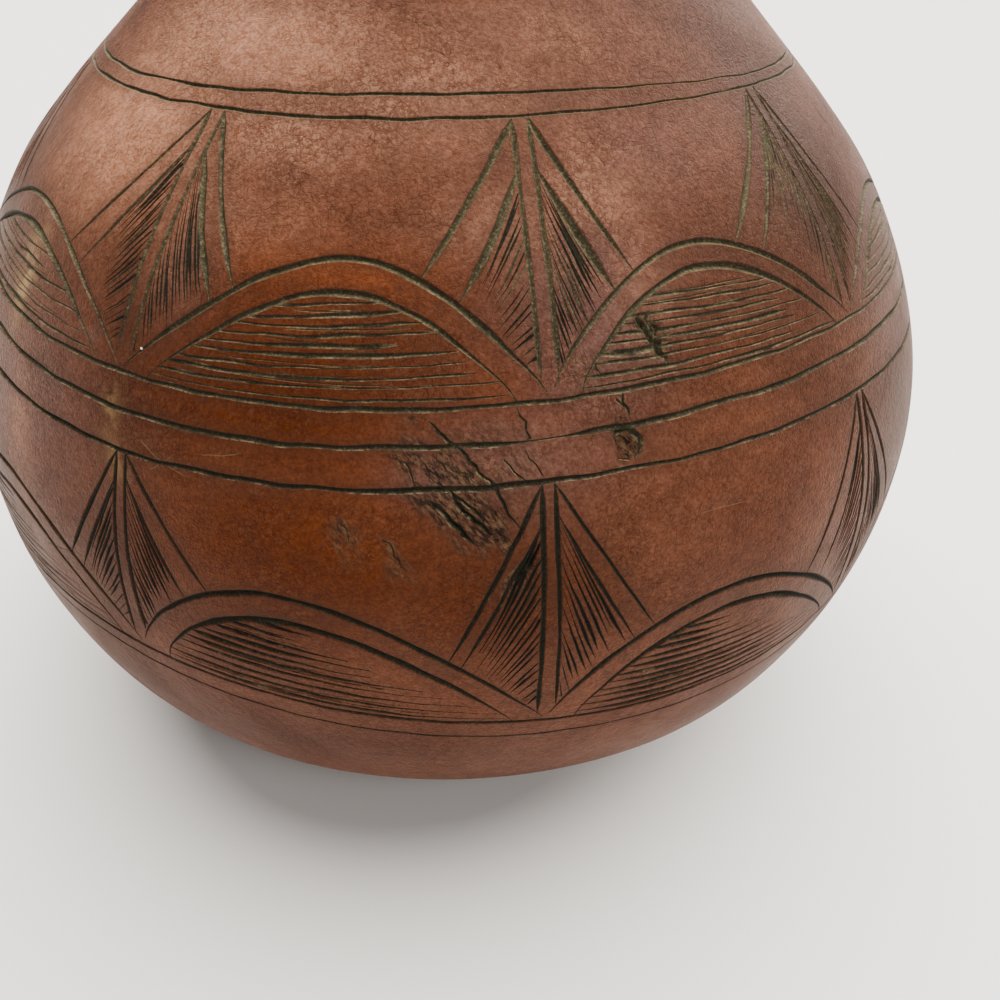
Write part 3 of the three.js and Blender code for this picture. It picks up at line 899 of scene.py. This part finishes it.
def lip_and_hollow():
    """Outline over the lip, down the neck and round the inside of the body to its middle."""
    over, inner, walls = [], [], []
    for a in np.linspace(0, pi / 2, LIP_STEPS)[1:]:
        out, up = 1 - math.cos(a), 1 - math.sin(a)
        over.append((NECK_RADIUS - LIP_ROUND * out, LIP_HEIGHT - LIP_ROUND * up))
        inner.append((MOUTH_RADIUS + INNER_LIP_ROUND * up, LIP_HEIGHT - INNER_LIP_ROUND * out))
    for share in 1 - np.linspace(0.02, 1, HOLLOW_ROWS):
        s = LENGTH * share
        r, h = radius_at(s), height_at(s)
        tr, th = tangent_at(s)
        wall = BODY_WALL + (NECK_WALL - BODY_WALL) * share
        walls.append((r - wall * th, max(h + wall * tr, HOLLOW_FLOOR)))
    return over + inner + walls + [(HOLLOW_FLOOR_RADIUS, HOLLOW_FLOOR)]


def chart_edge(chart, level):
    """The chart's points at one level, in order, without those on the seam's right side."""
    found = np.nonzero((np.abs(chart[:, 1] - level) < WELD) & (chart[:, 0] < CHART_RIGHT - WELD))[0]
    return found[np.argsort(chart[found, 0])].tolist()


def cap(blocks, added, edge, outline, centre, flip):
    """Closes a loop of points: rows turned from an outline, then triangles to the centre."""
    count = sum(map(len, blocks))
    for row in ring_rows(outline):
        current = list(range(count, count + COLUMNS))
        for k in range(COLUMNS):
            m = (k + 1) % COLUMNS
            quad = (edge[k], edge[m], current[m], current[k])
            added.append(quad[::-1] if flip else quad)
        blocks.append(row)
        count += COLUMNS
        edge = current
    for k in range(COLUMNS):
        tri = (edge[k], edge[(k + 1) % COLUMNS], count)
        added.append(tri[::-1] if flip else tri)
    blocks.append(np.array([centre], float))


def closed_mesh():
    """The whole gourd as points and faces: carved skin, flat spot, lip and hollow."""
    chart, points, faces, masks = skin_mesh()
    blocks, added = [points], []
    cap(blocks, added, chart_edge(chart, 0), FLAT_ROWS, (0, 0, 0), True)
    skin_faces = len(faces) + len(added)
    cap(blocks, added, chart_edge(chart, LENGTH), lip_and_hollow(), (0, 0, HOLLOW_FLOOR), False)
    return np.vstack(blocks), [*map(tuple, faces.tolist()), *added], masks, skin_faces


def add_attribute(mesh, name, values, total):
    padded = np.zeros(total, np.float32)
    padded[: len(values)] = values
    mesh.attributes.new(name, "FLOAT", "POINT").data.foreach_set("value", padded)


def gourd_object(materials):
    points, faces, masks, skin_faces = closed_mesh()
    mesh = bpy.data.meshes.new("gourd_skin")
    mesh.from_pydata((points * MM).tolist(), [], faces)
    for material in materials:
        mesh.materials.append(material)
    lip_faces = (LIP_STEPS - 1) * COLUMNS
    index = np.zeros(len(faces), np.int32)
    index[skin_faces + lip_faces:] = 1
    mesh.polygons.foreach_set("material_index", index)
    for name in MASKS:
        add_attribute(mesh, name, masks[name], len(points))
    mesh.update()
    mesh.validate()
    mesh.polygons.foreach_set("use_smooth", [True] * len(mesh.polygons))
    mesh.set_sharp_from_angle(angle=SHARP_ANGLE)
    gourd = bpy.data.objects.new("gourd_skin", mesh)
    bpy.context.scene.collection.objects.link(gourd)
    return gourd


MASKS = ("cut", "rim", "ink", "near", "lean", "raw", "dark", *PATCHES)


def node(kind, inputs, **settings):
    """A shader node in its inputs' tree. An input is a value or a node's output, one at least."""
    tree = next(v.id_data for v in inputs.values() if isinstance(v, bpy.types.NodeSocket))
    made = tree.nodes.new("ShaderNode" + kind)
    for key, value in settings.items():
        setattr(made, key, value)
    for key, value in inputs.items():
        socket = made.inputs[key]
        if isinstance(value, bpy.types.NodeSocket):
            tree.links.new(value, socket)
        else:
            socket.default_value = value
    return made


def noise_at(at, scale, detail=3, rough=0.55, bend=0.0):
    inputs = {"Vector": at, "Scale": scale, "Detail": detail, "Roughness": rough, "Distortion": bend}
    return node("TexNoise", inputs).outputs["Fac"]


def remap(value, low, high, to_low=0.0, to_high=1.0):
    inputs = {"Value": value, "From Min": low, "From Max": high, "To Min": to_low, "To Max": to_high}
    return node("MapRange", inputs, interpolation_type="SMOOTHSTEP").outputs["Result"]


def calc(operation, a, b=0.0, clamp=False):
    return node("Math", {0: a, 1: b}, operation=operation, use_clamp=clamp).outputs[0]


def blend(factor, a, b, how="MIX"):
    """Mixes two colours, which may be values or outputs."""
    a = a if isinstance(a, bpy.types.NodeSocket) else (*a, 1)
    b = b if isinstance(b, bpy.types.NodeSocket) else (*b, 1)
    return node("Mix", {0: factor, 6: a, 7: b}, data_type="RGBA", blend_type=how).outputs[2]


def new_material(name):
    material = bpy.data.materials.new(name)
    material.use_nodes = True
    return material, material.node_tree, material.node_tree.nodes["Principled BSDF"]


SKIN = (0.091, 0.03, 0.0135)
SKIN_DEEP = (0.06, 0.019, 0.0083)
PATCH_COLOURS = dict(
    rust=(0.054, 0.0102, 0.0007),
    amber=(0.105, 0.0245, 0.0055),
    # Partly the skin's purple-pink tone, partly painted sheen.
    mauve_and_painted_sheen=(0.1, 0.044, 0.033),
    tan=(0.155, 0.062, 0.035),
    # Painted sheen: the pale colour of reflected light.
    painted_sheen=(0.32, 0.137, 0.077),
)
DARK = (0.03, 0.013, 0.008)
# Painted glints of light on the varnish.
PAINTED_GLINT = (0.38, 0.2, 0.115)
PIGMENT = (0.007, 0.0065, 0.005)
# The cuts' olive and khaki: raw flesh and dust, and painted light on their lower walls
OLIVE = (0.078, 0.065, 0.034)
KHAKI = (0.24, 0.19, 0.105)
TORN = (0.115, 0.084, 0.044)
BRUISED = (0.07, 0.034, 0.019)
OCHRE = (0.3, 0.19, 0.075)
DUST = (0.75, 0.72, 0.66)
INSIDE = (0.17, 0.09, 0.042)
INSIDE_DARK = (0.08, 0.038, 0.018)
INSIDE_FIBRE = (0.24, 0.15, 0.08)
FLOOR = (0.87, 0.84, 0.79, 1)

# Grain changes red less than green, and blue more, so bright grains are paler, partly painted fine glints of
# light. Streaks in raw places lean like the scar.
RED_GRAIN = 0.7
BLUE_GRAIN = 1.35
STREAK_SLANT = radians(50)
STREAK_SIZE = (3.2, 1.1, 1)
WIDE_CELLS = 520.0
FINE_CELLS = 1050.0
DUST_SPACING = 48.0
RELIEF_DEPTH = 0.0003


def plug(output, shader, name):
    """Links an output to one of the shader's inputs."""
    shader.id_data.links.new(output, shader.inputs[name])


def cells_at(at, scale, output="Distance", **settings):
    inputs = {"Vector": at, "Scale": scale, "Randomness": 1.0}
    return node("TexVoronoi", inputs, **settings).outputs[output]


def crackle_at(at, scale, width):
    """Fine craze lines in the varnish: 1 on a line."""
    return remap(cells_at(at, scale, feature="DISTANCE_TO_EDGE"), width, 0.0)


def shaded(colour, factor):
    """A colour made lighter or darker by a factor."""
    grey = node("CombineColor", {0: factor, 1: factor, 2: factor}).outputs[0]
    return blend(1.0, colour, grey, "MULTIPLY")


def grained(colour, factor):
    """A colour with grain in it: bright grains are paler and dark ones are richer."""
    red = calc("POWER", factor, RED_GRAIN)
    blue = calc("POWER", factor, BLUE_GRAIN)
    tint = node("CombineColor", {0: red, 1: factor, 2: blue}).outputs[0]
    return blend(1.0, colour, tint, "MULTIPLY")


def times(*values):
    """The product of the values, kept between 0 and 1."""
    result = values[0]
    for value in values[1:]:
        result = calc("MULTIPLY", result, value, clamp=True)
    return result


def mask_at(tree, name):
    made = tree.nodes.new("ShaderNodeAttribute")
    made.attribute_name = name
    return made.outputs["Fac"]


def skin_noises(at):
    """The noises that the skin's colour, gloss and relief share."""
    return {
        "patches": noise_at(at, 38, 5, 0.62, 0.4),
        "mottle": noise_at(at, 210, 4, 0.6),
        "flecks": noise_at(at, 640, 2, 0.6),
        "grain": noise_at(at, 1700, 2, 0.6),
        "spark": noise_at(at, 2300, 1, 0.5),
    }


def skin_colour(mask, tex):
    """Brown skin with its redder, paler and darker patches, and their grain; some paler patches are painted
    sheen and the darkening ones painted shade.
    """
    ragged = calc("ADD", 0.62, times(tex["mottle"], 0.76))
    colour = blend(remap(tex["patches"], 0.36, 0.66), SKIN, SKIN_DEEP)
    for name, tone in PATCH_COLOURS.items():
        colour = blend(times(mask[name], ragged), colour, tone)
    # Painted shade: the darkening patches make the skin darker where less light falls.
    deep = times(mask["deep"], ragged)
    colour = shaded(colour, remap(deep, 0.0, 1.0, 1.0, 0.52))
    colour = shaded(colour, remap(tex["mottle"], 0.3, 0.7, 0.88, 1.12))
    colour = grained(colour, remap(tex["flecks"], 0.3, 0.7, 0.85, 1.16))
    return grained(colour, remap(tex["grain"], 0.3, 0.7, 0.74, 1.28))


def craze(at):
    """Leathery cells in the varnish: the lines between them, and how bright each small one is painted as a
    glint of light.
    """
    wander = node("TexNoise", {"Vector": at, "Scale": 700.0, "Detail": 1.0}).outputs["Color"]
    wander = node("VectorMath", {0: wander, 3: 0.0009}, operation="SCALE").outputs[0]
    bent = node("VectorMath", {0: at, 1: wander}, operation="ADD").outputs[0]
    fine = crackle_at(bent, FINE_CELLS, 0.12)
    lines = calc("MAXIMUM", crackle_at(bent, WIDE_CELLS, 0.07), times(fine, 0.6))
    cells = cells_at(bent, FINE_CELLS, "Color")
    bright = remap(node("SeparateColor", {0: cells}).outputs[0], 0.55, 1.0)
    return lines, times(bright, remap(fine, 0.0, 1.0, 0.8, 0.0))


def varnished(at, mask, tex, colour, lines, bright):
    """Craze lines over the skin, and painted golden glints of light in its tan, purple-pink and sheen
    patches.
    """
    pinkish = calc("MAXIMUM", mask["mauve_and_painted_sheen"], mask["painted_sheen"])
    lively = calc("ADD", mask["tan"], times(pinkish, 0.7), clamp=True)
    patchy = remap(noise_at(at, 75, 3), 0.38, 0.62, 0.25, 1.0)
    colour = grained(colour, remap(times(lines, patchy), 0.0, 1.0, 1.05, 0.66))
    # Painted glints: bright cells and sparkle noise, blended in as a pale colour.
    bright = calc("MAXIMUM", bright, remap(tex["spark"], 0.56, 0.7))
    glints = times(bright, remap(lively, 0.0, 1.0, 0.12, 1.0), patchy, 0.5)
    return blend(glints, colour, PAINTED_GLINT)


def worn(mask, tex, colour, streaks):
    """Pigment rubbed in round the cuts, smudges, stains and raw places."""
    mottle, raw = tex["mottle"], mask["raw"]
    for factor, tone in (
        (times(mask["near"], remap(mottle, 0.35, 0.65, 0.1, 0.48)), DARK),
        (times(mask["smudge"], remap(mottle, 0.3, 0.62), 0.75), DARK),
        (times(mask["pale"], remap(mottle, 0.35, 0.6)), OCHRE),
        (times(raw, 0.75), BRUISED),
        (times(raw, remap(streaks, 0.54, 0.64), 0.65), TORN),
        (times(raw, remap(streaks, 0.49, 0.41), 0.9), PIGMENT),
        (times(mask["dark"], remap(streaks, 0.56, 0.44)), PIGMENT),
    ):
        colour = blend(factor, colour, tone)
    return colour


def cut_colour(at, mask, tex, colour):
    """The cuts: dark pigment, left dark as painted shade low down and on their upper sides; olive and gritty
    where light falls in, painted as lit; raw and painted lit along the lower edge.
    """
    height = node("SeparateXYZ", {0: at}).outputs["Z"]
    # Painted light: higher cuts and their lower walls turn olive as if lit, the rest stays dark as if shaded
    high = remap(height, 0.095, 0.142, 0.1, 1.0)
    low_side = remap(mask["lean"], 0.15, 0.75, 0.12, 1.0)
    lit = times(high, low_side, remap(tex["flecks"], 0.3, 0.5, 0.55, 1.0))
    filling = blend(lit, PIGMENT, OLIVE)
    grit = times(remap(tex["spark"], 0.5, 0.68), lit, 0.5)
    filling = blend(grit, filling, KHAKI)
    inked = times(remap(mask["cut"], 0.04, 0.45), mask["ink"])
    colour = blend(inked, colour, filling)
    bare = calc("SUBTRACT", 0.7, mask["ink"], clamp=True)
    colour = blend(times(remap(mask["cut"], 0.1, 0.6), bare), colour, TORN)
    # Painted light: the khaki lower edge is raw flesh painted lit
    broken = remap(noise_at(at, 330, 2), 0.45, 0.6, 0.08, 0.9)
    edge = times(mask["rim"], remap(mask["cut"], 0.02, 0.2), broken)
    return blend(times(edge, remap(tex["grain"], 0.35, 0.55)), colour, KHAKI)


def dusted(at, colour):
    """A few specks of white dust."""
    return blend(remap(cells_at(at, DUST_SPACING), 0.014, 0.009), colour, DUST)


def skin_surface(shader, mask, tex, lines, streaks):
    """Gloss and fine relief: matt in cuts and raw places."""
    gloss = remap(tex["patches"], 0.3, 0.7, 0.38, 0.52)
    matt = calc("MAXIMUM", mask["cut"], calc("MAXIMUM", mask["raw"], mask["dark"]))
    gloss = calc("ADD", gloss, times(matt, 0.4), clamp=True)
    plug(gloss, shader, "Roughness")
    shader.inputs["Specular IOR Level"].default_value = 0.05
    relief = calc("ADD", times(tex["grain"], 0.7), times(tex["flecks"], 0.8))
    relief = calc("SUBTRACT", relief, times(lines, 0.3))
    torn = calc("MULTIPLY", times(mask["raw"], streaks), 3.0)
    add_relief(shader, calc("ADD", relief, torn))


def add_relief(shader, height):
    bump = node("Bump", {"Height": height, "Strength": 0.7, "Distance": RELIEF_DEPTH})
    plug(bump.outputs["Normal"], shader, "Normal")


def skin_material():
    material, tree, shader = new_material("gourd_skin")
    at = tree.nodes.new("ShaderNodeTexCoord").outputs["Object"]
    mask = {name: mask_at(tree, name) for name in MASKS}
    tex = skin_noises(at)
    slant = {"Vector": at, "Rotation": (0, STREAK_SLANT, 0), "Scale": STREAK_SIZE}
    slant = node("Mapping", slant, vector_type="TEXTURE").outputs[0]
    streaks = noise_at(slant, 1700, 3, 0.65)
    lines, bright = craze(at)
    colour = varnished(at, mask, tex, skin_colour(mask, tex), lines, bright)
    colour = worn(mask, tex, colour, streaks)
    colour = dusted(at, cut_colour(at, mask, tex, colour))
    plug(colour, shader, "Base Color")
    skin_surface(shader, mask, tex, lines, streaks)
    return material


def inside_material():
    material, tree, shader = new_material("gourd_inside")
    at = tree.nodes.new("ShaderNodeTexCoord").outputs["Object"]
    coarse = noise_at(at, 60, 5, 0.65)
    fibres = noise_at(at, 700, 4, 0.7)
    colour = blend(remap(coarse, 0.35, 0.65), INSIDE, INSIDE_DARK)
    colour = blend(remap(fibres, 0.5, 0.7), colour, INSIDE_FIBRE)
    plug(colour, shader, "Base Color")
    shader.inputs["Roughness"].default_value = 0.85
    add_relief(shader, fibres)
    return material


def floor_material():
    material, _, shader = new_material("floor")
    shader.inputs["Base Color"].default_value = FLOOR
    shader.inputs["Roughness"].default_value = 0.7
    return material


def make_floor():
    bpy.ops.mesh.primitive_plane_add(size=8)
    floor = bpy.context.object
    floor.name = "floor"
    floor.data.materials.append(floor_material())


def aim(light, towards):
    light.rotation_euler = Vector(towards).to_track_quat("-Z", "Y").to_euler()
    bpy.context.scene.collection.objects.link(light)


# Light: a broad soft sky from behind on the right, and a window behind the camera on the right
WORLD_COLOUR = (0.9, 0.96, 1, 1)
WORLD_STRENGTH = 0.27
SKY_COLOUR = (1, 0.97, 0.93)
SKY_STRENGTH = 12.9
SKY_SPREAD = radians(100)
SKY_TOWARDS = (-0.19, -0.47, -0.86)
WINDOW_SIZE = 0.4
WINDOW_POWER = 5
WINDOW_AT = (0.45, -0.9, 0.85)
WINDOW_TOWARDS = (-0.45, 0.9, -0.75)


def make_lights():
    world = bpy.data.worlds.new("studio")
    bpy.context.scene.world = world
    world.use_nodes = True
    back = world.node_tree.nodes["Background"]
    back.inputs["Color"].default_value = WORLD_COLOUR
    back.inputs["Strength"].default_value = WORLD_STRENGTH
    sky = bpy.data.lights.new("sky", "SUN")
    sky.energy = SKY_STRENGTH
    sky.color = SKY_COLOUR
    sky.angle = SKY_SPREAD
    aim(bpy.data.objects.new("sky", sky), SKY_TOWARDS)
    data = bpy.data.lights.new("window", "AREA")
    data.size = WINDOW_SIZE
    data.energy = WINDOW_POWER
    window = bpy.data.objects.new("window", data)
    window.location = WINDOW_AT
    aim(window, WINDOW_TOWARDS)


# The camera stands close to the body and looks down on it
CAMERA_BACK = 230.6
CAMERA_HEIGHT = 195.2
CAMERA_YAW = radians(3.31)
CAMERA_DOWN = radians(35.53)
CAMERA_ROLL = radians(2.25)
LENS = 36
SENSOR = 36


def make_camera():
    data = bpy.data.cameras.new("camera")
    data.lens = LENS
    data.sensor_width = SENSOR
    data.clip_start = 0.01
    camera = bpy.data.objects.new("camera", data)
    place = Matrix.Translation((0, -CAMERA_BACK * MM, CAMERA_HEIGHT * MM))
    yaw = Matrix.Rotation(-CAMERA_YAW, 4, "Z")
    pitch = Matrix.Rotation(pi / 2 - CAMERA_DOWN, 4, "X")
    camera.matrix_world = place @ yaw @ pitch @ Matrix.Rotation(CAMERA_ROLL, 4, "Z")
    bpy.context.scene.collection.objects.link(camera)
    bpy.context.scene.camera = camera


carve()
gourd = gourd_object([skin_material(), inside_material()])
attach(gourd, "root")
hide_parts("gourd")
make_floor()
make_lights()
make_camera()
